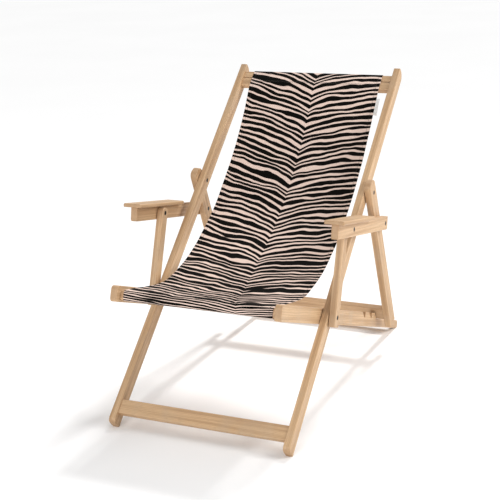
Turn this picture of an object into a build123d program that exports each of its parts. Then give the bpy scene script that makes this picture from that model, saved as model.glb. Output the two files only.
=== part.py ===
"""Folding deck chair: back frame, seat frame, prop frame, two folding arms and a fabric sling.

Side-view points are (y, z): y runs back from where the front edges of the back rails meet the floor,
and z runs up from the floor. Every board stands in one of four lanes beside the fabric. Parts are drawn
for the right side (+X) and mirrored to the left, and are moved at the end so that the origin lies
under the middle of the chair's box, on the floor.
"""
from build123d import *
import os
from math import atan2, cos, degrees, hypot, radians, sin

# Timber and lanes
BOARD = 21.0  # thickness of every board
LANE_GAP = 1.6  # space for a washer between two lanes
SEAT_LANE = 238.0  # inner face of the seat rails, from the centre plane
EDGE_ROUND = 2.0  # softened long edges
GROUND = 0.0
CUT_PAST = 1.0  # how far a cut runs past the face it opens
FACE_TOLERANCE = 1e-4

# Board widths, seen from the side
BACK_WIDTH = 40.0
SEAT_WIDTH = 46.0
PROP_WIDTH = 47.0
STRUT_WIDTH = 32.0
ARM_HEIGHT = 42.0

# Directions, in degrees from the horizontal
BACK_ANGLE = 41.16
SEAT_ANGLE = 20.53
PROP_ANGLE = 67.66

# Where the edge lines of the frames meet the floor
SEAT_HEEL_Y = 1088.6
PROP_LINE_Y = 914.3

# Pivot centres
MAIN_PIVOT = (364.6, 296.55)
PROP_PIVOT = (701.97, 584.9)
ARM_REAR_PIVOT = (748.3, 476.99)
ARM_FRONT_PIVOT = (449.17, 538.61)

# Extents of the boards along their own lines
BACK_FOOT, BACK_TOP = 42.0, 1390.0
SEAT_REAR, SEAT_FRONT = -10.0, 1108.0
PROP_FOOT, PROP_ABOVE_PIVOT = 85.6, 41.0
STRUT_BELOW_PIVOT, STRUT_ABOVE_PIVOT = 28.6, 16.0
ARM_REAR_REACH, ARM_FRONT_REACH = 20.0, 138.0
ARM_PIVOT_RISE = 20.5  # pivots above the lower edge of the arm rail

# Adjusting notches in the seat rails
NOTCH_DEPTH = 18.0
NOTCH_RAMP = 24.0  # length of the slope in front of a notch
NOTCH_FLOOR = 6.0
NOTCH_PITCH = 71.0
NOTCH_SETBACK = 10.0  # foot of an empty notch's slope behind its place in the pitch
NOTCH_ROUND = 2.0
EMPTY_NOTCHES = 2
HEEL_CLEARANCE = 0.4  # heel of the rail below the prop bar's path

# Cross bars
BACK_BAR_INSET = 9.0
UPPER_BAR, LOWER_BAR = (1340.0, 1366.0), (1306.0, 1337.0)
STRETCHER, STRETCHER_INSET = (73.0, 117.0), 3.4
PROP_BAR_HEIGHT = 44.0
FRONT_BAR, FRONT_BAR_RISE = (1068.0, 1089.0), (7.0, 34.0)
REAR_BAR, REAR_BAR_RISE = (20.0, 58.0), (1.5, 22.5)
TENON_DEPTH = 12.0
TENON_SHOULDER = 5.0
UPPER_BAR_RADII = [4, 6, 6, 3]
LOWER_BAR_RADII = [3, 3, 3, 3]
STRETCHER_RADII = [3, 3, 3, 3]
FRONT_BAR_RADII = [6, 8, 8, 6]
REAR_BAR_RADII = [3, 3, 3, 3]
PROP_BAR_RADII = [3, 3, 3, 2]

# Corner radii of the boards, seen from the side, in the order of their corners
BACK_RAIL_RADII = [15, 3, 26, 4]
SEAT_RAIL_RADII = [2, 13, 1.5, 2, 12, 10]
PROP_STRUT_RADII = [5, 5, 19, 19]
ARM_STRUT_RADII = [4, 4, 13, 13]
ARM_RAIL_RADII = [6, 3, 3, 6]

# Arm pads
PAD_THICKNESS = 11.0
PAD_INNER, PAD_OUTER = 286.8, 346.8
PAD_REAR_GAP = 172.0  # along the arm, from the rear pivot to the pad
PAD_LENGTH = 285.0
PAD_CORNER = 6.0
PAD_TOP_ROUND, PAD_UNDER_ROUND = 3.5, 2.5
DOWEL_RADIUS, DOWEL_LENGTH, DOWEL_COUNT = 4.0, 24.0, 3
DOWEL_IN_RAIL = 16.8  # length of a dowel below the top of the arm rail

# Bolts, sleeve nuts and washers
BOLT_RADIUS = 3.0
BOLT_RUNNING_FIT = 0.05
HEAD_RADIUS, HEAD_HEIGHT = 6.5, 3.0
SINK_RADIUS, SINK_DEPTH = 7.0, 4.0
SOCKET_ACROSS, SOCKET_DEPTH = 4.0, 1.8
THREAD_START = 1.0  # where a bolt ends past the bottom of the nut's sink
SLEEVE_RADIUS = 4.2
WASHER_RADIUS, WASHER_SLACK = 9.5, 0.2

# Fabric
FABRIC_HALF_WIDTH = 227.0
FABRIC_THICKNESS = 2.0
SLEEVE_CLEARANCE = 0.5
PANEL_GAP = 1.0
PANEL_STEP = 0.1  # rise of the back panel's end over the seat panel's
FRONT_BAR_TANGENT = 9.0  # where the fabric meets the front bar's top, behind its front face
BACK_SAG = [  # (distance up the back frame, offset in front of its front edge)
    (1353, -7.0), (1308, -7.5), (1240, -24), (1150, -43), (1050, -56),
    (950, -62), (850, -60), (760, -48), (680, -31), (600, -3),
]
SEAT_SAG = [  # (y, z)
    (364.6, 373.5), (296, 369.5), (200, 387.5), (140, 402.0),
]


def lane(number):
    """Inner and outer face of a lane: 1 seat rails, 2 back rails, 3 prop and arm struts, 4 arm rails."""
    inner = SEAT_LANE + (number - 1) * (BOARD + LANE_GAP)
    return inner, inner + BOARD


def along(origin, angle, distance, offset):
    """Side-view point at a distance along a direction, and an offset to its left."""
    a = radians(angle)
    return (
        origin[0] + distance * cos(a) - offset * sin(a),
        origin[1] + distance * sin(a) + offset * cos(a),
    )


def back_point(distance, offset):
    """Point in the back frame: up its front edge, and offset in front of it."""
    return along((0.0, 0.0), BACK_ANGLE, distance, offset)


def seat_point(distance, height):
    """Point in the seat frame: forward from its heel on the lower edge, and height above that edge."""
    return along((SEAT_HEEL_Y, GROUND), 180.0 - SEAT_ANGLE, distance, -height)


def prop_point(distance, depth):
    """Point in the prop frame: up its front edge, and depth behind that edge."""
    return along((PROP_LINE_Y, GROUND), 180.0 - PROP_ANGLE, distance, -depth)


def outline(points, radii):
    """Closed side-view face with one fillet radius for each corner."""
    face = Plane.YZ * make_face(Polyline(*points, close=True))
    for point, radius in zip(points, radii):
        if radius > 0:
            corner = face.vertices().sort_by_distance(Vector(0.0, *point))[0]
            face = fillet(corner, radius)
    return face


def slab(face, inner, outer):
    """Side-view face stretched from one distance from the centre plane to another."""
    return extrude(Pos(inner, 0, 0) * face, amount=outer - inner, dir=(1, 0, 0))


def softened(board):
    """Board with the edges round both of its broad faces softened."""
    low = board.bounding_box().min.X
    high = board.bounding_box().max.X
    rims = [e for e in board.edges() if on_face(e, low) or on_face(e, high)]
    return fillet(rims, EDGE_ROUND)


def on_face(edge, x):
    """Whether an edge lies in the plane at x."""
    box = edge.bounding_box()
    return abs(box.min.X - x) < FACE_TOLERANCE and abs(box.max.X - x) < FACE_TOLERANCE


def rod(point, radius, start, end):
    """Cylinder along X through a side-view point."""
    axis = Plane(origin=(start, *point), z_dir=(1, 0, 0))
    return extrude(axis * Circle(radius), amount=end - start)


def ring(point, inner_radius, outer_radius, start, end):
    """Washer along X round a side-view point."""
    return rod(point, outer_radius, start, end) - rod(point, inner_radius, start - CUT_PAST, end + CUT_PAST)


def left(shape):
    """Mirror image on the other side of the chair."""
    return mirror(shape, about=Plane.YZ)


def both(shape):
    """A part and its mirror image as one group of separate solids."""
    return Compound(children=[*shape.solids(), *left(shape).solids()])


def above_ground(shape):
    """Shape with what lies under the floor cut off flat."""
    size = 4000.0
    return shape - Pos(0, 0, GROUND - size / 2) * Box(size, size, size)


def pivot_hole(board, point, radius=BOLT_RADIUS + BOLT_RUNNING_FIT):
    """Board with a hole right through it."""
    box = board.bounding_box()
    return board - rod(point, radius, box.min.X - CUT_PAST, box.max.X + CUT_PAST)


def sink(board, point, face):
    """Board with a round sink for a bolt head or nut in its 'inner' or 'outer' face."""
    box = board.bounding_box()
    if face == "outer":
        return board - rod(point, SINK_RADIUS, box.max.X - SINK_DEPTH, box.max.X + CUT_PAST)
    return board - rod(point, SINK_RADIUS, box.min.X - CUT_PAST, box.min.X + SINK_DEPTH)


def head_seat(outer_face):
    """Under side of a sunk bolt head."""
    return outer_face - (SINK_DEPTH + HEAD_HEIGHT) / 2


def bolt_head(point, outer_face):
    """Flat sunk head with a hexagon socket, under the outer face."""
    top = outer_face - (SINK_DEPTH - HEAD_HEIGHT) / 2
    head = rod(point, HEAD_RADIUS, top - HEAD_HEIGHT, top)
    axis = Plane(origin=(top, *point), z_dir=(-1, 0, 0))
    socket = extrude(axis * RegularPolygon(SOCKET_ACROSS / 2, 6), amount=SOCKET_DEPTH)
    return head - socket


def bolt(point, inner_lane, outer_lane):
    """Socket bolt from the outer face of one lane to the sunk nut in the inner face of another."""
    outer_face = lane(outer_lane)[1]
    nut_end = lane(inner_lane)[0] + SINK_DEPTH + THREAD_START
    return bolt_head(point, outer_face) + rod(point, BOLT_RADIUS, nut_end, head_seat(outer_face))


def nut(point, inner_lane):
    """Sunk cap nut in the inner face of a lane."""
    start = lane(inner_lane)[0] + (SINK_DEPTH - HEAD_HEIGHT) / 2
    cap = rod(point, HEAD_RADIUS, start, start + HEAD_HEIGHT)
    axis = Plane(origin=(start, *point), z_dir=(1, 0, 0))
    socket = extrude(axis * RegularPolygon(SOCKET_ACROSS / 2, 6), amount=SOCKET_DEPTH)
    barrel_end = lane(inner_lane)[0] + SINK_DEPTH + THREAD_START
    barrel = rod(point, BOLT_RADIUS, start + HEAD_HEIGHT, barrel_end)
    return cap - socket + barrel


def washer(point, lane_number):
    """Washer in the gap outside a lane."""
    start = lane(lane_number)[1] + WASHER_SLACK / 2
    end = start + LANE_GAP - WASHER_SLACK
    return ring(point, BOLT_RADIUS + BOLT_RUNNING_FIT, WASHER_RADIUS, start, end)


def tenoned_bar(corners, radii, half_length):
    """Cross bar between two rails, with a stub tenon on each end."""
    body = slab(outline(corners, radii), -half_length, half_length)
    return body + slab(tenon_face(corners), -half_length - TENON_DEPTH, half_length + TENON_DEPTH)


def tenon_face(corners):
    """Section of a bar's tenon: the bar's outline pulled in by the shoulder."""
    centre = (sum(c[0] for c in corners) / 4, sum(c[1] for c in corners) / 4)
    width = hypot(corners[1][0] - corners[0][0], corners[1][1] - corners[0][1])
    height = hypot(corners[2][0] - corners[1][0], corners[2][1] - corners[1][1])
    angle = degrees(atan2(corners[1][1] - corners[0][1], corners[1][0] - corners[0][0]))
    plan = Rectangle(width - 2 * TENON_SHOULDER, height - 2 * TENON_SHOULDER)
    return Plane.YZ * (Pos(*centre) * Rot(0, 0, angle) * plan)


# ---- Corner points of the cross bars, seen from the side


def back_bar_corners(span, inset):
    """Corners of a bar between the back rails, inset behind their front edge."""
    low, high = span
    front, rear = -inset, -inset - BOARD
    return [back_point(low, rear), back_point(high, rear), back_point(high, front), back_point(low, front)]


def seat_bar_corners(span, rise):
    """Corners of a bar between the seat rails, above their lower edge."""
    rear, front = span
    low, high = rise
    return [seat_point(rear, high), seat_point(front, high), seat_point(front, low), seat_point(rear, low)]


def prop_bar_bottom():
    """Distance up the prop struts at which the bar's front edge sits on the notch floor."""
    floor = SEAT_WIDTH - NOTCH_DEPTH
    normal = (sin(radians(SEAT_ANGLE)), cos(radians(SEAT_ANGLE)))
    step = (-cos(radians(PROP_ANGLE)), sin(radians(PROP_ANGLE)))
    start = (PROP_LINE_Y - SEAT_HEEL_Y) * normal[0]
    return (floor - start) / (step[0] * normal[0] + step[1] * normal[1])


def prop_bar_corners():
    """Corners of the bar between the prop struts, with its front edge on the notch floor."""
    low = prop_bar_bottom()
    high = low + PROP_BAR_HEIGHT
    return [prop_point(low, BOARD), prop_point(high, BOARD), prop_point(high, 0), prop_point(low, 0)]


# ---- Back frame


def back_rail():
    """Long rail from the front foot to behind the head."""
    inner, outer = lane(2)
    corners = [
        back_point(BACK_FOOT, 0), back_point(BACK_FOOT, -BACK_WIDTH),
        back_point(BACK_TOP, -BACK_WIDTH), back_point(BACK_TOP, 0),
    ]
    rail = softened(slab(outline(corners, BACK_RAIL_RADII), inner, outer))
    for point in (MAIN_PIVOT, PROP_PIVOT):
        rail = pivot_hole(rail, point)
    rail = sink(rail, PROP_PIVOT, "inner")
    for corner_set in (
        back_bar_corners(UPPER_BAR, BACK_BAR_INSET),
        back_bar_corners(LOWER_BAR, BACK_BAR_INSET),
        back_bar_corners(STRETCHER, STRETCHER_INSET),
    ):
        rail -= mortise(corner_set, inner)
    return above_ground(rail)


def mortise(corners, face_x):
    """Pocket for a tenon, from a rail's inner face outward."""
    return slab(tenon_face(corners), face_x - CUT_PAST, face_x + TENON_DEPTH)


# ---- Seat frame


def seat_rail():
    """Rail from the rear floor contact to the front bar, notched on top for the prop bar."""
    inner, outer = lane(1)
    heel = SEAT_WIDTH - NOTCH_DEPTH
    edge_y, edge_z = prop_point(prop_bar_bottom(), 0)
    seat_notch = (SEAT_HEEL_Y - edge_y) * cos(radians(SEAT_ANGLE)) + edge_z * sin(radians(SEAT_ANGLE))
    clear = heel - HEEL_CLEARANCE
    corners = [
        seat_point(SEAT_REAR, 0), seat_point(SEAT_REAR, clear),
        seat_point(seat_notch + HEEL_CLEARANCE, clear),
        seat_point(seat_notch + NOTCH_RAMP + HEEL_CLEARANCE, SEAT_WIDTH),
        seat_point(SEAT_FRONT, SEAT_WIDTH), seat_point(SEAT_FRONT, 0),
    ]
    rail = slab(outline(corners, SEAT_RAIL_RADII), inner, outer)
    for count in range(1, EMPTY_NOTCHES + 1):
        start = seat_notch + count * NOTCH_PITCH - NOTCH_SETBACK
        rail -= slab(notch(start), inner - CUT_PAST, outer + CUT_PAST)
    rail = softened(rail)
    rail = sink(pivot_hole(rail, MAIN_PIVOT), MAIN_PIVOT, "inner")
    rail -= mortise(seat_bar_corners(FRONT_BAR, FRONT_BAR_RISE), inner)
    rail -= mortise(seat_bar_corners(REAR_BAR, REAR_BAR_RISE), inner)
    return above_ground(rail)


def notch(start):
    """Side view of a notch: short floor, steep rear wall and a long slope in front."""
    floor = SEAT_WIDTH - NOTCH_DEPTH
    corners = [
        seat_point(start - NOTCH_FLOOR, floor),
        seat_point(start - NOTCH_FLOOR, SEAT_WIDTH + CUT_PAST),
        seat_point(start + NOTCH_RAMP * (1 + CUT_PAST / NOTCH_DEPTH), SEAT_WIDTH + CUT_PAST),
        seat_point(start, floor),
    ]
    return outline(corners, [NOTCH_ROUND, 0, 0, NOTCH_ROUND])


# ---- Prop frame


def prop_strut():
    """Strut from beside the heel up past the back rail."""
    inner, outer = lane(3)
    angle = radians(PROP_ANGLE)
    pivot_distance = (PROP_LINE_Y - PROP_PIVOT[0]) * cos(angle) + PROP_PIVOT[1] * sin(angle)
    top = pivot_distance + PROP_ABOVE_PIVOT
    corners = [
        prop_point(PROP_FOOT, 0), prop_point(PROP_FOOT, PROP_WIDTH),
        prop_point(top, PROP_WIDTH), prop_point(top, 0),
    ]
    strut = softened(slab(outline(corners, PROP_STRUT_RADII), inner, outer))
    strut = sink(pivot_hole(strut, PROP_PIVOT), PROP_PIVOT, "outer")
    strut = sink(pivot_hole(strut, ARM_REAR_PIVOT), ARM_REAR_PIVOT, "inner")
    return strut - mortise(prop_bar_corners(), inner)


# ---- Arms


def arm_angle():
    """Direction of the arm rail, from its rear pivot to its front pivot."""
    rise = ARM_FRONT_PIVOT[1] - ARM_REAR_PIVOT[1]
    return degrees(atan2(rise, ARM_FRONT_PIVOT[0] - ARM_REAR_PIVOT[0]))


def arm_point(distance, height):
    """Point in the arm: forward from its rear pivot, and height above the line of its pivots."""
    return along(ARM_REAR_PIVOT, arm_angle(), distance, -height)


def arm_strut():
    """Short upright from the main pivot to the arm rail."""
    inner, outer = lane(3)
    rise = ARM_FRONT_PIVOT[1] - MAIN_PIVOT[1]
    angle = degrees(atan2(rise, ARM_FRONT_PIVOT[0] - MAIN_PIVOT[0]))
    length = hypot(rise, ARM_FRONT_PIVOT[0] - MAIN_PIVOT[0])
    half = STRUT_WIDTH / 2
    corners = [
        along(MAIN_PIVOT, angle, -STRUT_BELOW_PIVOT, half),
        along(MAIN_PIVOT, angle, -STRUT_BELOW_PIVOT, -half),
        along(MAIN_PIVOT, angle, length + STRUT_ABOVE_PIVOT, -half),
        along(MAIN_PIVOT, angle, length + STRUT_ABOVE_PIVOT, half),
    ]
    strut = softened(slab(outline(corners, ARM_STRUT_RADII), inner, outer))
    strut = sink(pivot_hole(strut, MAIN_PIVOT), MAIN_PIVOT, "outer")
    return sink(pivot_hole(strut, ARM_FRONT_PIVOT, SLEEVE_RADIUS), ARM_FRONT_PIVOT, "inner")


def arm_rail():
    """Rail on edge that carries the arm pad."""
    inner, outer = lane(4)
    low, high = -ARM_PIVOT_RISE, ARM_HEIGHT - ARM_PIVOT_RISE
    span = hypot(ARM_FRONT_PIVOT[0] - ARM_REAR_PIVOT[0], ARM_FRONT_PIVOT[1] - ARM_REAR_PIVOT[1])
    corners = [
        arm_point(-ARM_REAR_REACH, low), arm_point(-ARM_REAR_REACH, high),
        arm_point(span + ARM_FRONT_REACH, high), arm_point(span + ARM_FRONT_REACH, low),
    ]
    rail = softened(slab(outline(corners, ARM_RAIL_RADII), inner, outer))
    rail = sink(pivot_hole(rail, ARM_REAR_PIVOT, SLEEVE_RADIUS), ARM_REAR_PIVOT, "outer")
    rail = sink(pivot_hole(rail, ARM_FRONT_PIVOT), ARM_FRONT_PIVOT, "outer")
    for dowel in pad_dowels().solids():
        rail -= dowel
    return rail


def pad_plane(height):
    """Plane parallel to the arm's top, with x across the chair and y forward along the arm."""
    y, z = arm_point(0, height)
    forward_y, forward_z = arm_point(1, height)
    forward = Vector(0, forward_y - y, forward_z - z)
    return Plane(origin=(0, y, z), x_dir=(-1, 0, 0), z_dir=Vector(-1, 0, 0).cross(forward))


def arm_pad():
    """Thin board on top of the arm rail, with rounded corners and edges."""
    top_of_rail = ARM_HEIGHT - ARM_PIVOT_RISE
    middle_x = (PAD_INNER + PAD_OUTER) / 2
    middle_y = PAD_REAR_GAP + PAD_LENGTH / 2
    plan = Pos(-middle_x, middle_y) * RectangleRounded(PAD_OUTER - PAD_INNER, PAD_LENGTH, PAD_CORNER)
    flat = extrude(plan, amount=PAD_THICKNESS)
    flat = fillet(flat.faces().sort_by(Axis.Z)[-1].edges(), PAD_TOP_ROUND)
    flat = fillet(flat.faces().sort_by(Axis.Z)[0].edges(), PAD_UNDER_ROUND)
    pad = pad_plane(top_of_rail).location * flat
    for dowel in pad_dowels().solids():
        pad -= dowel
    return pad


def pad_dowels():
    """Blind dowels that locate the pad on the arm rail."""
    inner, outer = lane(4)
    plane = pad_plane(ARM_HEIGHT - ARM_PIVOT_RISE - DOWEL_IN_RAIL)
    step = PAD_LENGTH / DOWEL_COUNT
    dowels = []
    for count in range(DOWEL_COUNT):
        spot = Pos(-(inner + outer) / 2, PAD_REAR_GAP + step * (count + 0.5)) * Circle(DOWEL_RADIUS)
        dowels.extend(extrude(plane * spot, amount=DOWEL_LENGTH).solids())
    return Compound(children=dowels)


def arm_rear_bolt():
    """Outer half of the rear connector, a plain sleeve with a sunk head."""
    inner, outer = lane(4)
    fit = SLEEVE_RADIUS - BOLT_RUNNING_FIT
    return bolt_head(ARM_REAR_PIVOT, outer) + rod(ARM_REAR_PIVOT, fit, inner, head_seat(outer))


def arm_rear_nut():
    """Inner half of the rear connector, in the prop strut."""
    inner, outer = lane(3)
    start = inner + (SINK_DEPTH - HEAD_HEIGHT) / 2
    cap = rod(ARM_REAR_PIVOT, HEAD_RADIUS, start, start + HEAD_HEIGHT)
    return cap + rod(ARM_REAR_PIVOT, BOLT_RADIUS, start + HEAD_HEIGHT, outer)


def arm_front_bolt():
    """Connector bolt of the arm rail's front pivot, threaded into the sleeve nut."""
    outer = lane(4)[1]
    shank = rod(ARM_FRONT_PIVOT, BOLT_RADIUS, lane(3)[1], head_seat(outer))
    return bolt_head(ARM_FRONT_PIVOT, outer) + shank


def arm_front_nut():
    """Sleeve nut of the arm rail's front pivot, sunk in the arm strut."""
    inner, outer = lane(3)
    start = inner + (SINK_DEPTH - HEAD_HEIGHT) / 2
    cap = rod(ARM_FRONT_PIVOT, HEAD_RADIUS, start, start + HEAD_HEIGHT)
    return cap + rod(ARM_FRONT_PIVOT, SLEEVE_RADIUS - BOLT_RUNNING_FIT, start + HEAD_HEIGHT, outer)


# ---- Fabric


def ribbon(points):
    """Side view of a strip of fabric along a smooth curve."""
    half = FABRIC_THICKNESS / 2
    centre = Spline(*points)
    count = 2 * len(points)
    upper, lower = [], []
    for step in range(count):
        spot, way = centre @ (step / (count - 1)), centre % (step / (count - 1))
        upper.append((spot.X - way.Y * half, spot.Y + way.X * half))
        lower.append((spot.X + way.Y * half, spot.Y - way.X * half))
    edges = Spline(*upper) + Line(upper[-1], lower[-1]) + Spline(*lower) + Line(lower[0], upper[0])
    return Plane.YZ * make_face(edges)


def sleeve(corners, radii):
    """Side view of the hem sewn round a bar."""
    bar = outline(corners, radii)
    return offset(bar, SLEEVE_CLEARANCE + FABRIC_THICKNESS) - offset(bar, SLEEVE_CLEARANCE)


def fabric(face):
    """Side view stretched to the width of the fabric."""
    return slab(face, -FABRIC_HALF_WIDTH, FABRIC_HALF_WIDTH)


def sling_back_panel():
    """Fabric from the upper bar down to beside the main pivot, with its hem round the bar."""
    last_y, last_z = SEAT_SAG[0]
    curve = [back_point(*spot) for spot in BACK_SAG] + [(last_y + PANEL_GAP, last_z + PANEL_STEP)]
    hem = sleeve(back_bar_corners(UPPER_BAR, BACK_BAR_INSET), UPPER_BAR_RADII)
    return fabric(ribbon(curve)) + fabric(hem)


def sling_seat_panel():
    """Fabric from beside the main pivot forward to the front bar, with its hem round the bar."""
    cover = SLEEVE_CLEARANCE + FABRIC_THICKNESS / 2
    bar_top = seat_point(FRONT_BAR[1] - FRONT_BAR_TANGENT, FRONT_BAR_RISE[1] + cover)
    hem = sleeve(seat_bar_corners(FRONT_BAR, FRONT_BAR_RISE), FRONT_BAR_RADII)
    return fabric(ribbon([*SEAT_SAG, bar_top])) + fabric(hem)


# ---- The whole chair

half_seat = lane(1)[0]
half_back = lane(2)[0]
half_prop = lane(3)[0]
upper_bar = back_bar_corners(UPPER_BAR, BACK_BAR_INSET)
lower_bar = back_bar_corners(LOWER_BAR, BACK_BAR_INSET)
stretcher = back_bar_corners(STRETCHER, STRETCHER_INSET)
front_bar = seat_bar_corners(FRONT_BAR, FRONT_BAR_RISE)
rear_bar = seat_bar_corners(REAR_BAR, REAR_BAR_RISE)
right_nodes = {
    "back_rail": back_rail(),
    "seat_rail": seat_rail(),
    "prop_strut": prop_strut(),
    "arm_strut": arm_strut(),
    "arm_rail": arm_rail(),
    "arm_pad": arm_pad(),
    "arm_pad_dowels": pad_dowels(),
    "arm_front_bolt": arm_front_bolt(),
    "arm_front_nut": arm_front_nut(),
    "arm_front_washer": washer(ARM_FRONT_PIVOT, 3),
    "arm_rear_bolt": arm_rear_bolt(),
}
paired_nodes = {
    "main_pivot_bolts": bolt(MAIN_PIVOT, 1, 3),
    "main_pivot_nuts": nut(MAIN_PIVOT, 1),
    "main_pivot_inner_washers": washer(MAIN_PIVOT, 1),
    "main_pivot_outer_washers": washer(MAIN_PIVOT, 2),
    "prop_pivot_bolts": bolt(PROP_PIVOT, 2, 3),
    "prop_pivot_nuts": nut(PROP_PIVOT, 2),
    "prop_pivot_washers": washer(PROP_PIVOT, 2),
    "arm_rear_nuts": arm_rear_nut(),
    "arm_rear_washers": washer(ARM_REAR_PIVOT, 3),
}
single_nodes = {
    "top_bar_upper": tenoned_bar(upper_bar, UPPER_BAR_RADII, half_back),
    "top_bar_lower": tenoned_bar(lower_bar, LOWER_BAR_RADII, half_back),
    "foot_stretcher": tenoned_bar(stretcher, STRETCHER_RADII, half_back),
    "seat_front_bar": tenoned_bar(front_bar, FRONT_BAR_RADII, half_seat),
    "seat_rear_bar": tenoned_bar(rear_bar, REAR_BAR_RADII, half_seat),
    "prop_bar": tenoned_bar(prop_bar_corners(), PROP_BAR_RADII, half_prop),
    "sling_back_panel": sling_back_panel(),
    "sling_seat_panel": sling_seat_panel(),
}

nodes = dict(single_nodes)
for name, shape in right_nodes.items():
    nodes[name + "_right"] = shape
    nodes[name + "_left"] = left(shape)
for name, shape in paired_nodes.items():
    nodes[name] = both(shape)

whole = Compound(children=[s for shape in nodes.values() for s in shape.solids()]).bounding_box()
middle = (whole.min.Y + whole.max.Y) / 2
os.makedirs("parts", exist_ok=True)
for name, shape in nodes.items():
    placed = Pos(0, -middle, 0) * Compound(children=list(shape.solids()))
    export_step(placed, "parts/" + name + ".step")
print("middle of the layout, y =", round(middle, 3))
print("size", whole.size)
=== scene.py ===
"""Looks of the folding deck chair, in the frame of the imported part: wood, metal and printed sling."""

import math

import bpy
from mathutils import Matrix, Vector, noise


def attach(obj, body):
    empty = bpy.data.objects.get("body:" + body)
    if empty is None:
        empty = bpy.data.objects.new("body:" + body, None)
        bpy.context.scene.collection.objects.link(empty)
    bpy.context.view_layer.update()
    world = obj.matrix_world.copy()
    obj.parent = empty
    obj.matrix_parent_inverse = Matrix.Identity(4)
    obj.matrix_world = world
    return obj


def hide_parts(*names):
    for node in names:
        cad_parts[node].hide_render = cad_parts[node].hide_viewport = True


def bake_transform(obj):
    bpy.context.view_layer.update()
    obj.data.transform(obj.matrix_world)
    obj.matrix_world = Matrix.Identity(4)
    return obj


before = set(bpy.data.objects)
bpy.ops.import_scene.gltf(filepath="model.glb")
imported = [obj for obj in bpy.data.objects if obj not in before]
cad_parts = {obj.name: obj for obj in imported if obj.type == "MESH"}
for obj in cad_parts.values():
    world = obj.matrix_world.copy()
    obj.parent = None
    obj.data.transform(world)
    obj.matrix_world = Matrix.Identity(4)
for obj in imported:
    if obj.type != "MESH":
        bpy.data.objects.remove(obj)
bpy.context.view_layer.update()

# ---- Side-view layout, in metres: y back from the front contact line, z up

LAYOUT_MIDDLE = 0.570849  # layout y of the frame's origin
BACK_ANGLE = math.radians(41.16)
SEAT_ANGLE = math.radians(20.53)
PROP_ANGLE = math.radians(67.66)
SEAT_HEEL_Y = 1.0886
MAIN_PIVOT = (0.3646, 0.29655)
ARM_REAR_PIVOT = (0.7483, 0.47699)
ARM_FRONT_PIVOT = (0.44917, 0.53861)


def back_point(distance, offset):
    """Side-view point up the back rails' front edge, and offset in front of it."""
    y = distance * math.cos(BACK_ANGLE) - offset * math.sin(BACK_ANGLE)
    z = distance * math.sin(BACK_ANGLE) + offset * math.cos(BACK_ANGLE)
    return Vector((y, z))


def seat_point(distance, height):
    """Side-view point forward along the seat rails' lower edge, and height above it."""
    y = SEAT_HEEL_Y - distance * math.cos(SEAT_ANGLE) + height * math.sin(SEAT_ANGLE)
    z = distance * math.sin(SEAT_ANGLE) + height * math.cos(SEAT_ANGLE)
    return Vector((y, z))


def placed(x, point):
    """Point of the shared frame from x and a side-view point."""
    return Vector((x, point[0] - LAYOUT_MIDDLE, point[1]))


def slope(start, end):
    """Angle of the side-view line from one point to another."""
    return math.atan2(end[1] - start[1], end[0] - start[0])


# ---- Sling dimensions, in metres

CLOTH_HALF_WIDTH = 0.227
CLOTH_THICKNESS = 0.0010
CLOTH_SLACK = 0.0016  # middle of the cloth outside a bar's face
LAYER_GAP = 0.00005  # between the two layers of a sleeve
HEM_WIDTH = 0.014
HEM_EXTRA = 0.0006
HEM_STEP = 0.0012  # width of the slope down from a side hem to the single cloth
SLEEVE_TAIL = 0.016  # how far a sleeve's inner layer runs past its bar
UPPER_BAR = (1.340, 1.366, -0.030, -0.009)  # along the back from, to, offset from, to
UPPER_BAR_RADII = (0.004, 0.006, 0.006)  # low rear, high rear, high front
UPPER_TURN_START = 0.007  # where the inner layer leaves the outer one, below the bar
UPPER_TURN_CENTRE = (0.0035, 0.0020)  # below the bar, and behind the inner layer
UPPER_TURN_RADIUS = 0.0019
FRONT_BAR = (1.068, 1.089, 0.007, 0.034)  # along the seat from, to, height from, to
FRONT_BAR_RADII = (0.008, 0.008, 0.006)  # front high, front low, rear low
FRONT_TAIL = ((CLOTH_SLACK, -0.006), (0.004, 0.0005), (SLEEVE_TAIL, 0.0036))  # behind the bar, above its top
BACK_SAG = (  # distance up the back, offset in front of it
    (1.353, -0.0074), (1.308, -0.0075), (1.240, -0.024), (1.150, -0.043), (1.050, -0.056),
    (0.950, -0.062), (0.850, -0.060), (0.760, -0.048), (0.680, -0.031), (0.600, -0.003),
)
SEAT_SAG = ((0.3646, 0.3735), (0.296, 0.3695), (0.200, 0.3875), (0.140, 0.402))  # y, z

DISH_START, DISH_FULL = 0.03, 0.22  # below the upper bar
DISH_FADE = 0.16  # before the front bar
DISH_DEPTH = 0.0055
DRAWN_IN = 0.0025  # how much narrower each half of the free cloth is
# Noise over the cloth: height, and pace across and along it
WRINKLE = (0.0011, 11, 5)
PUCKER = (0.0007, 46, 6)
WIDTH_WAVE = (0.0004, 0, 24)
EDGE_WAVE, EDGE_PACE, EDGE_POWER = 0.0018, (2, 9), 8
PUCKER_ON_BAR = 0.3  # share of the puckers left where the cloth is not free
BAR_FADE = 0.02  # length over which a change at a bar comes in
RIM_OUT, RIM_IN, RIM_SHARE = -0.0004, 0.0012, 0.45  # thinning toward the side edges

NORMAL_REACH = 0.0012  # half the span over which the strip's direction is taken
BAR_ZONE = 0.03  # rows are close together up to here from a bar
ROW_STEP_FINE, ROW_STEP = 0.0022, 0.008
HEM_COLUMNS = (0.0, 0.0006, 0.0016, 0.004, 0.009, HEM_WIDTH - HEM_STEP, HEM_WIDTH)
COLUMNS = 56


def arc(centre, radius, start, end, place, steps=8):
    """Points of an arc in a bar's own coordinates, turned into side-view points."""
    points = []
    for step in range(steps + 1):
        turn = math.radians(start + (end - start) * step / steps)
        points.append(place(centre[0] + radius * math.cos(turn), centre[1] + radius * math.sin(turn)))
    return points


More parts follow.
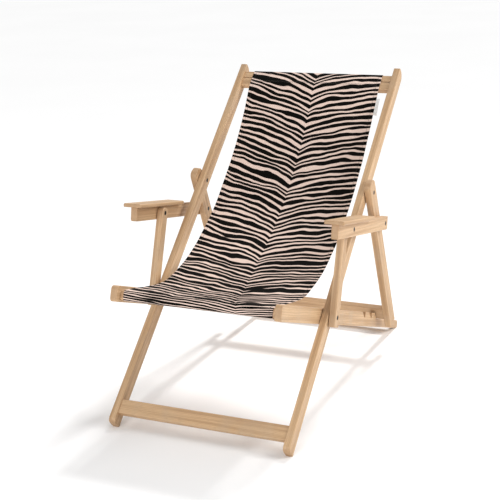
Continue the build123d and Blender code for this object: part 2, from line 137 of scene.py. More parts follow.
def wrap_upper_bar():
    """Sleeve round the upper bar: from its seam below the bar, up behind it and over it to its front."""
    low, high, rear, front = UPPER_BAR
    low_rear, high_rear, high_front = UPPER_BAR_RADII
    layer = front + CLOTH_SLACK - CLOTH_THICKNESS - LAYER_GAP
    turn_centre = (low - UPPER_TURN_CENTRE[0], layer - UPPER_TURN_CENTRE[1])
    points = [back_point(low - SLEEVE_TAIL, layer), back_point(low - UPPER_TURN_START, layer)]
    points += arc(turn_centre, UPPER_TURN_RADIUS, 90, 0, back_point, 4)
    points += arc((low + low_rear, rear + low_rear), low_rear + CLOTH_SLACK, 180, 270, back_point)
    points += arc((high - high_rear, rear + high_rear), high_rear + CLOTH_SLACK, 270, 360, back_point)
    points += arc((high - high_front, front - high_front), high_front + CLOTH_SLACK, 0, 90, back_point)
    return points


def wrap_front_bar():
    """Sleeve round the front bar: over its top, down its front, under it and back up to the seam."""
    rear, front, low, high = FRONT_BAR
    front_high, front_low, rear_low = FRONT_BAR_RADII
    points = arc((front - front_high, high - front_high), front_high + CLOTH_SLACK, 90, 0, seat_point)
    points += arc((front - front_low, low + front_low), front_low + CLOTH_SLACK, 0, -90, seat_point)
    points += arc((rear + rear_low, low + rear_low), rear_low + CLOTH_SLACK, -90, -180, seat_point)
    for behind, rise in FRONT_TAIL:
        points.append(seat_point(rear - behind, high + rise))
    return points


def smooth_curve(points, steps=14):
    """Catmull-Rom curve through side-view points."""
    ends = [points[0] * 2 - points[1]] + list(points) + [points[-1] * 2 - points[-2]]
    curve = []
    for a, b, c, d in zip(ends, ends[1:], ends[2:], ends[3:]):
        for step in range(steps):
            t = step / steps
            curve.append(
                0.5 * (2 * b + (c - a) * t + (2 * a - 5 * b + 4 * c - d) * t ** 2
                       + (3 * b - a - 3 * c + d) * t ** 3)
            )
    curve.append(points[-1].copy())
    return curve


def sling_line():
    """Middle line of the whole strip, and the two lengths along it between which it hangs free."""
    head = wrap_upper_bar()
    free = [back_point(*spot) for spot in BACK_SAG] + [Vector(spot) for spot in SEAT_SAG]
    front = wrap_front_bar()
    hanging = smooth_curve([head[-1]] + free + [front[0]])
    line = head[:-1] + hanging + front[1:]
    lengths = [0.0]
    for a, b in zip(line, line[1:]):
        lengths.append(lengths[-1] + (b - a).length)
    return line, lengths, lengths[len(head) - 1], lengths[len(head) + len(hanging) - 2]


LINE, LENGTHS, FREE_START, FREE_END = sling_line()
STRIP_LENGTH = LENGTHS[-1]


def on_line(v):
    """Side-view point at a length along the strip."""
    low, high = 0, len(LENGTHS) - 1
    while high - low > 1:
        middle = (low + high) // 2
        if LENGTHS[middle] <= v:
            low = middle
        else:
            high = middle
    part = (v - LENGTHS[low]) / max(LENGTHS[high] - LENGTHS[low], 1e-9)
    return LINE[low].lerp(LINE[high], part)


def smooth(value, low, high):
    """Smooth step from 0 at low to 1 at high."""
    t = min(max((value - low) / (high - low), 0.0), 1.0)
    return t * t * (3 - 2 * t)


def free_share(v):
    """0 where the cloth lies on a bar, 1 where it hangs free."""
    gained = smooth(v, FREE_START + DISH_START, FREE_START + DISH_FULL)
    return gained * (1 - smooth(v, FREE_END - DISH_FADE, FREE_END))


def cloth_frame(v):
    """Middle point and outward normal of the strip at a length along it."""
    way = on_line(min(v + NORMAL_REACH, STRIP_LENGTH)) - on_line(max(v - NORMAL_REACH, 0.0))
    way.normalize()
    return on_line(v), Vector((way[1], -way[0]))


def waves(shape, across, along, layer):
    """Noise over the cloth; shape is its height and its pace across and along."""
    height, pace_across, pace_along = shape
    return height * noise.noise(Vector((across * pace_across, along * pace_along, layer)))


def ripple(u, v):
    """How far the cloth stands off its middle line: a shallow dish, soft wrinkles and lively edges."""
    share = free_share(v)
    across = u / CLOTH_HALF_WIDTH
    dish = -DISH_DEPTH * (1 - across ** 2)
    wrinkles = waves(WRINKLE, u, v, 0.3)
    puckers = waves(PUCKER, u, v, 1.7)
    edges = waves((EDGE_WAVE * abs(across) ** EDGE_POWER, *EDGE_PACE), across, v, 4.1)
    past_bar = smooth(v, FREE_START, FREE_START + BAR_FADE)
    kept = PUCKER_ON_BAR + (1 - PUCKER_ON_BAR) * share
    return share * (dish + wrinkles + edges) + puckers * past_bar * kept


def half_width(v):
    """Half the cloth's width, drawn in a little where it hangs free."""
    return CLOTH_HALF_WIDTH - DRAWN_IN * free_share(v) + waves(WIDTH_WAVE, 0, v, 8.0)


def cloth_point(u, v, lift=0.0):
    """Point of the cloth in the shared frame, lifted off its middle surface."""
    middle, normal = cloth_frame(v)
    return placed(u * half_width(v) / CLOTH_HALF_WIDTH, middle + normal * (ripple(u, v) + lift))


def half_thickness(u, v):
    """Half the cloth's thickness: more in the side hems, less at their very edges."""
    inside = CLOTH_HALF_WIDTH - abs(u)
    hem = 1 - smooth(inside, HEM_WIDTH - HEM_STEP, HEM_WIDTH)
    free = smooth(v, FREE_START - BAR_FADE, FREE_START + BAR_FADE)
    rim = smooth(inside, RIM_OUT, RIM_IN)
    return (CLOTH_THICKNESS + HEM_EXTRA * hem * free) / 2 * (RIM_SHARE + (1 - RIM_SHARE) * rim)


def cloth_rows():
    """Lengths along the strip: close together round the bars."""
    rows, v = [], 0.0
    while v < STRIP_LENGTH - 1e-6:
        rows.append(v)
        near_bar = v < FREE_START + BAR_ZONE or v > FREE_END - BAR_ZONE
        v += ROW_STEP_FINE if near_bar else ROW_STEP
    return rows + [STRIP_LENGTH]


def cloth_columns():
    """Places across the strip: close together at the hems."""
    left_side = [-CLOTH_HALF_WIDTH + inside for inside in HEM_COLUMNS]
    inner = CLOTH_HALF_WIDTH - HEM_WIDTH
    middle = [-inner + 2 * inner * n / COLUMNS for n in range(1, COLUMNS)]
    return left_side + middle + [-u for u in reversed(left_side)]


def mesh_object(name, points, faces, shade_smooth=True):
    """New mesh object in the scene."""
    mesh = bpy.data.meshes.new(name)
    mesh.from_pydata(points, [], faces)
    mesh.validate()
    mesh.polygons.foreach_set("use_smooth", [shade_smooth] * len(mesh.polygons))
    item = bpy.data.objects.new(name, mesh)
    bpy.context.scene.collection.objects.link(item)
    return item


def tube_faces(rings, ring, base=0):
    """Faces that join rings of points, each ring closed on itself."""
    faces = []
    for row in range(rings - 1):
        for spot in range(ring):
            a = base + row * ring + spot
            b = base + row * ring + (spot + 1) % ring
            faces.append((a, b, b + ring, a + ring))
    return faces


def make_sling():
    """The sling as one closed strip: printed side out, plain side in."""
    rows, columns = cloth_rows(), cloth_columns()
    points, places = [], []
    for v in rows:
        for side in (1, -1):
            for u in columns if side > 0 else reversed(columns):
                points.append(cloth_point(u, v, side * half_thickness(u, v)))
                places.append((u, v))
    ring = 2 * len(columns)
    faces = tube_faces(len(rows), ring)
    last = (len(rows) - 1) * ring
    for spot in range(len(columns) - 1):
        mate, after = ring - 1 - spot, ring - 2 - spot
        faces.append((spot, mate, after, spot + 1))
        faces.append((last + spot, last + spot + 1, last + after, last + mate))
    sling = mesh_object("sling", points, faces)
    cloth_map = sling.data.uv_layers.new(name="cloth")
    for loop in sling.data.loops:
        cloth_map.data[loop.index].uv = places[loop.vertex_index]
    for face in sling.data.polygons:
        spots = [v % ring for v in face.vertices]
        on_plain_side = min(spots) >= len(columns) - 1 and max(spots) >= len(columns)
        face.material_index = int(on_plain_side)
    return sling


# ---- Stitching: every stitch is a short arched thread that dips into the cloth at its ends

STITCH_PITCH = 0.0046
STITCH_LENGTH = 0.0034
STITCH_PROFILE = (  # place along the stitch, rise in thread radii, girth
    (-0.5, -0.3, 0.55), (-0.28, 0.55, 1.0), (0.0, 0.8, 1.0), (0.28, 0.55, 1.0), (0.5, -0.3, 0.55),
)
THREAD_RADIUS = 0.00034
THREAD_FLATTENED = 1.3  # width of a thread over its height
THREAD_SIDES = 6
HEM_STITCH = 0.003  # side stitches, outside the hem's inner edge
SIDE_START, SIDE_PAST = 0.004, 0.02  # side stitches, past the two bars' tangent lines
PLAIN_START, PLAIN_END = 0.07, 0.03  # the same on the plain side, in from the two bars
SEAM_ROWS = 0.004  # between the two rows of a seam


def stitch_mesh(name, runs):
    """One piece holding the stitches of several runs.

    A run is its (u, v) centres, its heading, and its side: 1 printed or -1 plain.
    """
    points, faces = [], []
    for centres, (du, dv), side in runs:
        for u, v in centres:
            base = len(points)
            for part, rise, girth in STITCH_PROFILE:
                uu = u + du * part * STITCH_LENGTH
                vv = v + dv * part * STITCH_LENGTH
                skin = half_thickness(uu, vv) + rise * THREAD_RADIUS
                for corner in range(THREAD_SIDES):
                    turn = 2 * math.pi * corner / THREAD_SIDES
                    out = math.cos(turn) * THREAD_RADIUS * girth
                    aside = math.sin(turn) * THREAD_RADIUS * girth * THREAD_FLATTENED
                    points.append(cloth_point(uu + dv * aside, vv - du * aside, side * (skin + out)))
            faces += tube_faces(len(STITCH_PROFILE), THREAD_SIDES, base)
    return mesh_object(name, points, faces)


def spaced(start, end, pitch):
    """Even places from start to end."""
    count = int((end - start) / pitch)
    return [start + (end - start) * (n + 0.5) / count for n in range(count)]


def make_stitching():
    """Stitched lines: along both side hems, and across below the upper bar and behind the front bar."""
    side_line = CLOTH_HALF_WIDTH - HEM_WIDTH + HEM_STITCH
    across = spaced(-side_line, side_line, STITCH_PITCH)
    down = spaced(FREE_START + SIDE_START, FREE_END + SIDE_PAST, STITCH_PITCH)
    between = [v for v in down if FREE_START + PLAIN_START < v < FREE_END - PLAIN_END]
    runs = []
    for u in (-side_line, side_line):
        runs.append(([(u, v) for v in down], (0, 1), 1))
        runs.append(([(u, v) for v in between], (0, 1), -1))
    # Two rows at the end of each sleeve's tail; the cloth hangs free from a corner's radius inside each bar
    upper = FREE_START + UPPER_BAR[1] - UPPER_BAR[0] + SLEEVE_TAIL - UPPER_BAR_RADII[2]
    front_corner = FRONT_BAR_RADII[0] + SEAM_ROWS
    front = FREE_END - (FRONT_BAR[1] - FRONT_BAR[0]) - SLEEVE_TAIL + front_corner
    for seam in (upper, upper + SEAM_ROWS, front, front - SEAM_ROWS):
        runs.append(([(u, seam) for u in across], (1, 0), 1))
    return stitch_mesh("sling_stitching", runs)


# ---- Blank label

TAG_LENGTH = 0.058
TAG_REACH = 0.011
TAG_HALF_THICKNESS = 0.00045
TAG_ROWS, TAG_STEPS, TAG_FOLD_STEPS = 14, 8, 6
TAG_START = 0.089  # below the upper bar
TAG_FOLLOWS = 0.004  # the tape takes the cloth's shape this far inside its edge
TAG_OUT = 0.0035  # and starts this much further out
TAG_CURL, TAG_CURL_TURNS, TAG_CURL_START = 0.0016, 1.4, 0.4


def make_tag():
    """Blank folded tape sewn into the right side hem near the top."""
    half = TAG_HALF_THICKNESS
    section = [(TAG_REACH * step / TAG_STEPS, half) for step in range(TAG_STEPS + 1)]
    for step in range(1, TAG_FOLD_STEPS):
        turn = math.pi / 2 - math.pi * step / TAG_FOLD_STEPS
        section.append((TAG_REACH + math.cos(turn) * half, math.sin(turn) * half))
    section += [(TAG_REACH * (1 - step / TAG_STEPS), -half) for step in range(TAG_STEPS + 1)]
    points = []
    for row in range(TAG_ROWS + 1):
        v = FREE_START + TAG_START + TAG_LENGTH * row / TAG_ROWS
        curl = TAG_CURL * math.sin(math.pi * row / TAG_ROWS * TAG_CURL_TURNS + TAG_CURL_START)
        for out, lift in section:
            bend = curl * (out / TAG_REACH) ** 2
            point = cloth_point(CLOTH_HALF_WIDTH - TAG_FOLLOWS, v, lift + bend)
            points.append(point + Vector((out + TAG_OUT, 0, 0)))
    ring = len(section)
    faces = tube_faces(TAG_ROWS + 1, ring)
    faces.append(tuple(reversed(range(ring))))
    faces.append(tuple(TAG_ROWS * ring + n for n in range(ring)))
    return mesh_object("sling_side_tag", points, faces)


# ---- Materials


class Graph:
    """A material's node tree, built by calls that take numbers, tuples or sockets."""

    def __init__(self, name):
        self.material = bpy.data.materials.new(name)
        self.material.use_nodes = True
        self.tree = self.material.node_tree
        self.shader = self.tree.nodes["Principled BSDF"]

    def node(self, kind, inputs=(), **settings):
        """Add a node, set its properties, and fill its inputs by index or name."""
        made = self.tree.nodes.new("ShaderNode" + kind)
        for key, value in settings.items():
            setattr(made, key, value)
        for key, value in dict(inputs).items():
            self.fill(made.inputs[key], value)
        return made

    def fill(self, socket, value):
        """Link or set one input."""
        if isinstance(value, bpy.types.NodeSocket):
            self.tree.links.new(value, socket)
        else:
            socket.default_value = value

    def math(self, operation, *values):
        """One math node."""
        return self.node("Math", enumerate(values), operation=operation).outputs[0]

    def plus(self, first, second):
        """first + second."""
        return self.math("ADD", first, second)

    def minus(self, first, second):
        """first - second."""
        return self.math("SUBTRACT", first, second)

    def times(self, first, second):
        """first * second."""
        return self.math("MULTIPLY", first, second)

    def times_plus(self, first, second, third):
        """first * second + third."""
        return self.math("MULTIPLY_ADD", first, second, third)

    def length(self, first, second):
        """Length of the two values taken as a vector."""
        return self.math("SQRT", self.plus(self.times(first, first), self.times(second, second)))

    def scaled(self, value, low, high, to_low=0.0, to_high=1.0, kind="SMOOTHSTEP"):
        """The range low to high, mapped to to_low to to_high."""
        inputs = {0: value, 1: low, 2: high, 3: to_low, 4: to_high}
        return self.node("MapRange", inputs, interpolation_type=kind).outputs[0]

    def join(self, x, y, z=0.0):
        """Vector from three values."""
        return self.node("CombineXYZ", {0: x, 1: y, 2: z}).outputs[0]

    def split(self, vector):
        """Three values of a vector."""
        return self.node("SeparateXYZ", {0: vector}).outputs

    def dot(self, vector, axis):
        """Reach of a vector along an axis."""
        return self.node("VectorMath", {0: vector, 1: axis}, operation="DOT_PRODUCT").outputs["Value"]

    def noise(self, vector, scale=1.0, detail=2.0, rough=0.5):
        """Noise from 0 to 1 at a place."""
        inputs = {"Vector": vector, "Scale": scale, "Detail": detail, "Roughness": rough}
        return self.node("TexNoise", inputs).outputs["Fac"]

    def mix(self, share, first, second):
        """Colour between two colours."""
        made = self.node("Mix", {0: share}, data_type="RGBA")
        for socket, value in ((made.inputs[6], first), (made.inputs[7], second)):
            self.fill(socket, (*value, 1.0) if isinstance(value, tuple) else value)
        return made.outputs[2]

    def finish(self, colour, roughness, height=None, depth=0.0005, strength=0.5, **fixed):
        """Join colour, roughness and bump to the shader, and set its fixed inputs."""
        self.fill(self.shader.inputs["Base Color"], colour)
        self.fill(self.shader.inputs["Roughness"], roughness)
        if height is not None:
            inputs = {"Height": height, "Strength": strength, "Distance": depth}
            self.fill(self.shader.inputs["Normal"], self.node("Bump", inputs).outputs[0])
        for key, value in fixed.items():
            self.shader.inputs[key.replace("_", " ")].default_value = value
        return self.material


# Wood colours, linear
WOOD_LIGHT = (0.610, 0.408, 0.232)
WOOD_MID = (0.440, 0.270, 0.140)
WOOD_DARK = (0.32, 0.180, 0.088)
WOOD_GREY = (0.46, 0.345, 0.235)
WOOD_END = (0.40, 0.245, 0.130)

RING_PITCH = 0.0042
RING_SHARPNESS = 2.2
RING_WARP = 0.016  # how far slow noise moves a ring
RING_LEAN = 0.010  # how fast the rings drift along a board
TIP_LENGTH = 0.022  # darkened at a board's two ends
WORN_FROM, WORN_TO = 0.0006, 0.0034  # rubbed edge, from the corner in
WORN_RAGGED = 0.006
SEED_DRIFT = 3.71  # moves the grain from one board to the next
PITH_WIDE = (0.02, 0.055, 2.3)  # pith across a board's width: middle, swing, turn per board
PITH_THICK = (0.035, 0.02, 1.7)  # the same through its thickness

ARM_SLOPE = slope(ARM_REAR_PIVOT, ARM_FRONT_PIVOT)
BOARD_ANGLES = {
    "back_rail": BACK_ANGLE,
    "seat_rail": math.pi - SEAT_ANGLE,
    "prop_strut": math.pi - PROP_ANGLE,
    "arm_strut": slope(MAIN_PIVOT, ARM_FRONT_PIVOT),
    "arm_rail": ARM_SLOPE,
    "arm_pad": ARM_SLOPE,
}
BAR_ANGLES = {
    "top_bar_upper": BACK_ANGLE,
    "top_bar_lower": BACK_ANGLE,
    "foot_stretcher": BACK_ANGLE,
    "seat_front_bar": math.pi - SEAT_ANGLE,
    "seat_rear_bar": math.pi - SEAT_ANGLE,
    "prop_bar": math.pi - PROP_ANGLE,
}


def side_axes(angle):
    """Side-view directions at an angle and square to it."""
    return (0, math.cos(angle), math.sin(angle)), (0, -math.sin(angle), math.cos(angle))


def wood_axes(name):
    """Length, width and thickness directions of a wooden node, or None for another material."""
    if "dowel" in name:
        return (0, 0, 1), (0, 1, 0), (1, 0, 0)
    for key, angle in BAR_ANGLES.items():
        if name == key:
            return (1, 0, 0), *side_axes(angle)
    for key, angle in BOARD_ANGLES.items():
        if name.startswith(key):
            return *side_axes(angle), (1, 0, 0)
    return None


def extent(item, axis):
    """Middle and half size of a node's mesh along a direction."""
    reach = [Vector(axis).dot(vertex.co) for vertex in item.data.vertices]
    return (min(reach) + max(reach)) / 2, (max(reach) - min(reach)) / 2


def grain(g, local, pace_along, pace_across, drifts, detail, rough=0.5):
    """Noise drawn out along a board, with a drift across its width and one across its thickness."""
    along, wide, thick = local
    stretched = g.join(
        g.times(along, pace_along),
        g.times_plus(wide, pace_across, drifts[0]),
        g.times_plus(thick, pace_across, drifts[1]),
    )
    return g.noise(stretched, 1.0, detail, rough)


def growth_rings(g, local, slow, seed):
    """Dark lines of rings round a pith that lies beside the board."""
    along, wide, thick = local
    middle, swing, turn = PITH_WIDE
    from_pith_wide = g.minus(wide, swing * math.sin(seed * turn) + middle)
    middle, swing, turn = PITH_THICK
    from_pith_thick = g.plus(thick, middle + swing * math.cos(seed * turn))
    radius = g.length(from_pith_wide, from_pith_thick)
    warped = g.times_plus(slow, RING_WARP, g.times_plus(along, RING_LEAN, radius))
    wave = g.math("SINE", g.times(warped, 2 * math.pi / RING_PITCH))
    return g.math("POWER", g.times_plus(wave, 0.5, 0.5), RING_SHARPNESS)


def wood(name, item, axes, seed):
    """Oiled light hardwood: growth rings, fibres, pores, end grain and rubbed edges along a board."""
    g = Graph("wood_" + name)
    where = g.node("TexCoord").outputs["Object"]
    facing = g.node("TexCoord").outputs["Normal"]
    halves, local = [], []
    for axis in axes:
        middle, half = extent(item, axis)
        halves.append(half)
        local.append(g.minus(g.dot(where, axis), middle))
    drift = seed * SEED_DRIFT
    slow = grain(g, local, 3.2, 16.0, (drift, drift), 2.0)
    rings = growth_rings(g, local, slow, seed)
    fibre = grain(g, local, 9.0, 420.0, (drift, 0.0), 3.0, 0.6)
    streak = grain(g, local, 2.4, 95.0, (drift, drift), 2.0)
    pores = g.scaled(grain(g, local, 70.0, 1500.0, (drift, 0.0), 1.0), 0.60, 0.70)
    patch = g.noise(where, 5.0 + 0.3 * seed, 2.0)
    end = g.scaled(g.math("ABSOLUTE", g.dot(facing, axes[0])), 0.55, 0.80)
    inside = [g.minus(half, g.math("ABSOLUTE", value)) for half, value in zip(halves, local)]
    ragged = g.times_plus(g.minus(patch, 0.5), WORN_RAGGED, g.length(inside[1], inside[2]))
    worn = g.scaled(ragged, WORN_FROM, WORN_TO, 1.0, 0.0)
    tip = g.scaled(inside[0], 0.0, TIP_LENGTH, 1.0, 0.0)
    colour = g.mix(g.scaled(streak, 0.36, 0.68), WOOD_LIGHT, WOOD_MID)
    layers = (
        (rings, 0.30, WOOD_DARK),
        (g.scaled(fibre, 0.42, 0.70), 0.34, WOOD_MID),
        (g.scaled(patch, 0.50, 0.72), 0.35, WOOD_GREY),
        (pores, 0.45, WOOD_DARK),
        (worn, 0.28, WOOD_LIGHT),
        (tip, 0.16, WOOD_DARK),
        (end, 0.62, WOOD_END),
    )
    for share, strength, tint in layers:
        colour = g.mix(g.times(share, strength), colour, tint)
    rough = g.plus(g.scaled(fibre, 0.3, 0.8, 0.46, 0.64), g.times(worn, -0.06))
    height = g.plus(g.times(fibre, 0.55), g.times_plus(pores, -0.8, g.times(rings, 0.25)))
    return g.finish(colour, rough, height, depth=0.00022, strength=0.55)


def metal(name, base, dark, roughness):
    """Blackened steel with fine marks and dull patches."""
    g = Graph(name)
    where = g.node("TexCoord").outputs["Object"]
    marks = g.noise(where, 900.0, 2.0)
    patches = g.noise(where, 160.0, 3.0, 0.6)
    bright = tuple(2.0 * c for c in base)
    colour = g.mix(g.scaled(patches, 0.35, 0.70), base, dark)
    colour = g.mix(g.times(g.scaled(marks, 0.62, 0.72), 0.5), colour, bright)
    rough = g.scaled(patches, 0.3, 0.7, roughness - 0.08, roughness + 0.14)
    return g.finish(colour, rough, marks, depth=0.00006, strength=0.4, Metallic=0.85)


def nylon(name, base, pale):
    """Moulded dark plastic with a fine matt texture and scuffed patches."""
    g = Graph(name)
    where = g.node("TexCoord").outputs["Object"]
    texture = g.noise(where, 1300.0, 2.0)
    scuffs = g.noise(where, 210.0, 3.0, 0.6)
    colour = g.mix(g.scaled(scuffs, 0.50, 0.75), base, pale)
    rough = g.scaled(scuffs, 0.3, 0.7, 0.48, 0.66)
    return g.finish(colour, rough, texture, depth=0.00005, strength=0.4)


# Cloth colours, linear; the shade colours are painted shade in the weave's hollows, and they also tint the
# soil patches
CLOTH_PALE = (0.83, 0.66, 0.575)
CLOTH_SHADE = (0.72, 0.545, 0.465)
REVERSE_PALE = (0.74, 0.60, 0.52)
REVERSE_SHADE = (0.62, 0.49, 0.42)
REVERSE_STRIKE = 0.30  # share of the ink that shows through
INK = (0.0028, 0.0026, 0.0020)
INK_WORN = (0.0085, 0.0075, 0.006)
WEAVE_PITCH = 0.00095

# The print, in metres over the cloth: down from the upper bar, across from the middle
STRIPE_PITCH = 0.0195
STRIPE_EDGE = 0.10  # softness of a stripe's edge
SPINE_START, SPINE_SPAN = 0.70, 0.46  # where the spine starts to drift to the right, and for how long
SPINE_OFFSET, SPINE_DRIFT, SPINE_POWER = 0.003, 0.115, 1.7
LEFT_BEND, LEFT_FALL = 0.035, 0.0165  # rounded apex of the V: its reach and its depth
RIGHT_BEND, RIGHT_FALL = 0.052, 0.030
LEFT_SLOPES, RIGHT_SLOPE = (0.25, 0.12), 0.10
LEFT_SLOPE_FROM, LEFT_SLOPE_TO = 0.30, 0.85
STRETCH_START, STRETCH_REACH, STRETCH_REST = 0.76, 0.17, 0.16  # stripes widen toward the front bar
HEM_START, HEM_PACE = 0.004, 2.6  # finer stripes over the front bar
WANDER = 0.036
BEAT = 10.0
SPLIT = 2.5
INK_FROM, INK_TO = 0.45, 0.95  # where the stripes get heavier
INK_HIGH, INK_LOW = 0.34, 0.52


def cloth_noise(g, u, v, pace_u, pace_v, layer, detail):
    """Noise over the cloth, with its own pace across and along."""
    return g.noise(g.join(g.times(u, pace_u), g.times(v, pace_v), layer), 1.0, detail)


def apex(g, away, bend, fall):
    """How far the V has risen from its rounded apex at a distance from the spine."""
    left_over = g.math("EXPONENT", g.times(away, -1 / bend))
    return g.times(g.minus(1.0, left_over), fall)


def print_pattern(g, u, v):
    """Share of ink: stripes in a downward V along a spine, with forks, tapers and islands."""
    down = g.minus(v, FREE_START)
    late = g.scaled(down, SPINE_START, SPINE_START + SPINE_SPAN, 0.0, 1.0, "LINEAR")
    spine = g.times_plus(g.math("POWER", late, SPINE_POWER), SPINE_DRIFT, SPINE_OFFSET)
    away = g.minus(u, spine)
    left_way = g.math("MAXIMUM", g.times(away, -1.0), 0.0)
    right_way = g.math("MAXIMUM", away, 0.0)
    left_slope = g.scaled(down, LEFT_SLOPE_FROM, LEFT_SLOPE_TO, *LEFT_SLOPES)
    rise = g.times_plus(left_way, left_slope, apex(g, left_way, LEFT_BEND, LEFT_FALL))
    right_rise = g.times_plus(right_way, RIGHT_SLOPE, apex(g, right_way, RIGHT_BEND, RIGHT_FALL))
    rise = g.plus(rise, right_rise)
    past = g.math("MAXIMUM", g.minus(down, STRETCH_START), 0.0)
    squeezed = g.times(g.math("ARCTANGENT", g.math("DIVIDE", past, STRETCH_REACH)), STRETCH_REACH)
    before = g.math("MINIMUM", down, STRETCH_START)
    printed = g.plus(before, g.times_plus(past, STRETCH_REST, squeezed))
    over = g.math("MAXIMUM", g.minus(v, FREE_END + HEM_START), 0.0)
    flow = g.plus(g.times_plus(over, HEM_PACE, printed), rise)
    wander = cloth_noise(g, u, flow, 8.5, 10.0, 0.0, 2.0)
    flow = g.times_plus(g.minus(wander, 0.5), WANDER, flow)
    beat = cloth_noise(g, u, flow, 4.5, 26.0, 5.0, 1.0)
    turn = g.times_plus(flow, 2 * math.pi / STRIPE_PITCH, g.times(beat, BEAT))
    split = cloth_noise(g, u, flow, 5.0, 84.0, 9.0, 1.0)
    stripes = g.plus(g.math("SINE", turn), g.times(g.minus(split, 0.5), SPLIT))
    heavy = g.scaled(down, INK_FROM, INK_TO, INK_HIGH, INK_LOW)
    return g.scaled(g.plus(stripes, heavy), -STRIPE_EDGE, STRIPE_EDGE)


def canvas(name, strike, pale, shade):
    """Printed cotton canvas in plain weave; strike is how much of the ink shows on this side."""
    g = Graph(name)
    u, v, _ = g.split(g.node("UVMap", uv_map="cloth").outputs[0])
    ink = g.times(print_pattern(g, u, v), strike)
    spin = 2 * math.pi / WEAVE_PITCH
    slub = cloth_noise(g, u, v, 24.0, 900.0, 0.0, 2.0)
    slub_down = cloth_noise(g, u, v, 900.0, 24.0, 3.0, 2.0)
    warp = g.math("SINE", g.times(u, spin))
    weft = g.math("SINE", g.times(v, spin))
    slubs = g.times_plus(slub, 0.5, g.times(slub_down, 0.5))
    threads = g.times_plus(g.times(warp, weft), 0.35, slubs)
    soil = cloth_noise(g, u, v, 6.0, 6.0, 2.0, 3.0)
    # Painted shade: the weave's crossings take the pale colour and its hollows the shade colour; the slubs
    # vary the yarn's own tone
    ground = g.mix(g.scaled(threads, 0.15, 0.95), shade, pale)
    # Soil: random darker patches of dirt in the cloth, tinted with the shade colour
    ground = g.mix(g.times(g.scaled(soil, 0.45, 0.75), 0.22), ground, shade)
    rubbed = g.times(g.scaled(threads, 0.55, 1.0), 0.55)
    colour = g.mix(ink, ground, g.mix(rubbed, INK, INK_WORN))
    rough = g.scaled(threads, 0.2, 0.9, 0.82, 0.94)
    return g.finish(colour, rough, threads, depth=0.00018, strength=0.6, Specular_IOR_Level=0.06)


def plain_cloth(name, light, dark, pitch):
    """Twisted thread or narrow woven tape in one colour."""
    g = Graph(name)
    where = g.node("TexCoord").outputs["Object"]
    x, y, z = g.split(where)
    twist = g.math("SINE", g.times(g.plus(x, g.plus(y, z)), 2 * math.pi / pitch))
    fluff = g.noise(where, 1400.0, 2.0)
    body = g.times_plus(twist, 0.25, fluff)
    # Painted shade: the twist's ridges lean to the light colour and its grooves to the dark colour; the
    # fluff noise adds random fibre tone
    colour = g.mix(g.scaled(body, 0.2, 0.8), dark, light)
    return g.finish(colour, g.scaled(fluff, 0.3, 0.7, 0.75, 0.92), body, depth=0.0001, strength=0.5)


def studio_floor(name):
    """Matt white floor with a barely visible tone change."""
    g = Graph(name)
    cloud = g.noise(g.node("TexCoord").outputs["Object"], 0.8, 2.0)
    colour = g.mix(g.scaled(cloud, 0.3, 0.7), (0.95, 0.95, 0.95), (0.965, 0.965, 0.965))
    return g.finish(colour, 0.9)


def dress_frame():
    """Give every CAD node that stays its finish."""
    bolt_metal = metal("bolt_dark", (0.050, 0.044, 0.038), (0.022, 0.019, 0.017), 0.42)
    washer_nylon = nylon("washer_nylon", (0.024, 0.021, 0.018), (0.060, 0.054, 0.047))
    for seed, (name, item) in enumerate(sorted(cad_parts.items())):
        axes = wood_axes(name)
        if axes:
            finish = wood(name, item, axes, seed)
        else:
            finish = washer_nylon if "washer" in name else bolt_metal
        item.data.materials.clear()
        item.data.materials.append(finish)


# ---- Studio

CAMERA_PLACE = (1.36353, -3.14325, 1.45084)
CAMERA_AZIMUTH = math.radians(24.33)
CAMERA_ELEVATION = math.radians(16.85)
CAMERA_ROLL = math.radians(-1.88)
CAMERA_LENS = 83.26
CAMERA_SENSOR = 36.0
FLOOR_HALF = 60.0
WORLD_STRENGTH = 0.52
LAMPS = (  # name, kind, place, target, energy, settings
    ("rear_sun", "SUN", (0.35, 3.0, 3.6), (0, 0, 0.2), 2.05, {"angle": math.radians(10)}),
    ("right_soft", "AREA", (3.0, 0.2, 2.1), (0, 0.1, 0.6), 64.0, {"size": 1.5}),
    ("front_soft", "AREA", (-0.5, -3.9, 1.25), (0, 0.25, 0.65), 62.0, {"size": 1.7}),
)


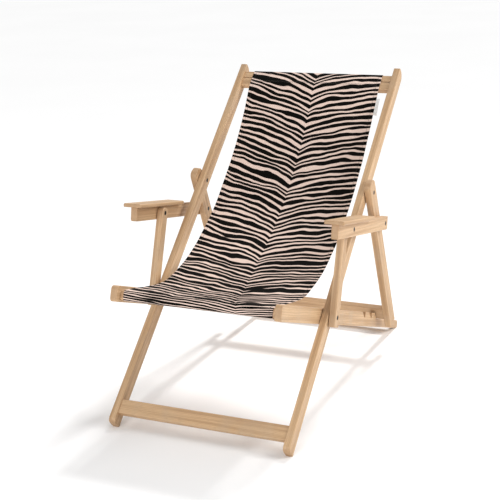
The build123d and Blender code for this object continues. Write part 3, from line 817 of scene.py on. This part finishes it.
def make_camera():
    """Camera on the front right, a little above the chair."""
    forward = Vector((-math.sin(CAMERA_AZIMUTH) * math.cos(CAMERA_ELEVATION),
                      math.cos(CAMERA_AZIMUTH) * math.cos(CAMERA_ELEVATION), -math.sin(CAMERA_ELEVATION)))
    level = Vector((math.cos(CAMERA_AZIMUTH), math.sin(CAMERA_AZIMUTH), 0))
    upright = level.cross(forward)
    right = level * math.cos(CAMERA_ROLL) + upright * math.sin(CAMERA_ROLL)
    up = upright * math.cos(CAMERA_ROLL) - level * math.sin(CAMERA_ROLL)
    data = bpy.data.cameras.new("camera")
    data.lens = CAMERA_LENS
    data.sensor_width = CAMERA_SENSOR
    camera = bpy.data.objects.new("camera", data)
    turn = Matrix((right, up, -forward)).transposed().to_4x4()
    camera.matrix_world = Matrix.Translation(CAMERA_PLACE) @ turn
    bpy.context.scene.collection.objects.link(camera)
    bpy.context.scene.camera = camera


def make_lamp(name, kind, place, target, energy, settings):
    """Lamp at a place, aimed at a point."""
    data = bpy.data.lights.new(name, kind)
    data.energy = energy
    for key, value in settings.items():
        setattr(data, key, value)
    lamp = bpy.data.objects.new(name, data)
    lamp.location = place
    lamp.rotation_euler = (Vector(target) - lamp.location).to_track_quat("-Z", "Y").to_euler()
    bpy.context.scene.collection.objects.link(lamp)


def make_studio():
    """White floor, white surroundings, a sun from behind and soft lamps from the right and the front."""
    half = FLOOR_HALF
    corners = [(-half, -half, 0), (half, -half, 0), (half, half, 0), (-half, half, 0)]
    floor = mesh_object("floor", corners, [(0, 1, 2, 3)], shade_smooth=False)
    floor.data.materials.append(studio_floor("floor_white"))
    world = bpy.data.worlds.new("studio")
    world.use_nodes = True
    surroundings = world.node_tree.nodes["Background"]
    surroundings.inputs["Color"].default_value = (1.0, 1.0, 1.0, 1.0)
    surroundings.inputs["Strength"].default_value = WORLD_STRENGTH
    bpy.context.scene.world = world
    for lamp in LAMPS:
        make_lamp(*lamp)
    bpy.context.scene.view_settings.view_transform = "Standard"


# ---- Everything together

dress_frame()

sling = make_sling()
sling.data.materials.append(canvas("canvas_printed", 1.0, CLOTH_PALE, CLOTH_SHADE))
sling.data.materials.append(canvas("canvas_reverse", REVERSE_STRIKE, REVERSE_PALE, REVERSE_SHADE))
stitching = make_stitching()
thread = plain_cloth("thread_dark", (0.060, 0.052, 0.045), (0.018, 0.016, 0.014), 0.0008)
stitching.data.materials.append(thread)
tag = make_tag()
tag.data.materials.append(plain_cloth("tape_white", (0.86, 0.85, 0.83), (0.66, 0.65, 0.63), 0.0007))

for piece in (sling, stitching):
    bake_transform(piece)
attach(tag, "back_frame")
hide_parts("sling_back_panel", "sling_seat_panel")

make_camera()
make_studio()
